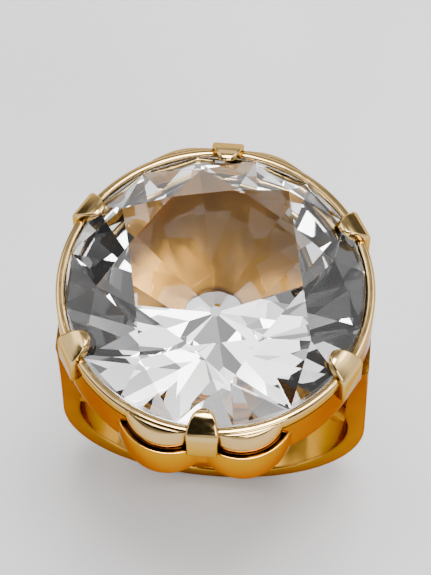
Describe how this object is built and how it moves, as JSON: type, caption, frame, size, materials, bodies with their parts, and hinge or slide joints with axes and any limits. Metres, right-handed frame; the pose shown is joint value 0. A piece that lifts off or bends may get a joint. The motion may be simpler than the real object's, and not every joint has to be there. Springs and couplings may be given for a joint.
{
  "type": "cocktail ring",
  "caption": "Cocktail ring with a large round faceted clear stone in a claw collet with scalloped petals, on a tapering shank.",
  "frame": {"origin": "centre of the finger hole, midway along the finger", "axes": "+Y along the finger axis from the front of the ring to its back, +Z from the finger to the stone, +X to the right seen from the front"},
  "size_m": [0.0202, 0.021, 0.0297],
  "materials": {
    "crystal": "clear faceted rock crystal, polished",
    "pale_gold": "pale yellow gold, polished",
    "yellow_gold": "warm yellow gold, polished"
  },
  "bodies": {
    "root": {"stone": "crystal", "girdle_rail": "pale_gold", "front_claw": "pale_gold", "front_right_claw": "pale_gold", "back_right_claw": "pale_gold", "back_claw": "pale_gold", "back_left_claw": "pale_gold", "front_left_claw": "pale_gold", "front_left_petal": "pale_gold", "front_right_petal": "pale_gold", "back_right_petal": "pale_gold", "back_left_petal": "pale_gold", "gallery_wall": "yellow_gold", "stone_seat": "yellow_gold", "base_rail": "yellow_gold", "bridge": "yellow_gold", "left_shoulder": "yellow_gold", "right_shoulder": "yellow_gold", "shank": "yellow_gold"}
  },
  "joints": []
}
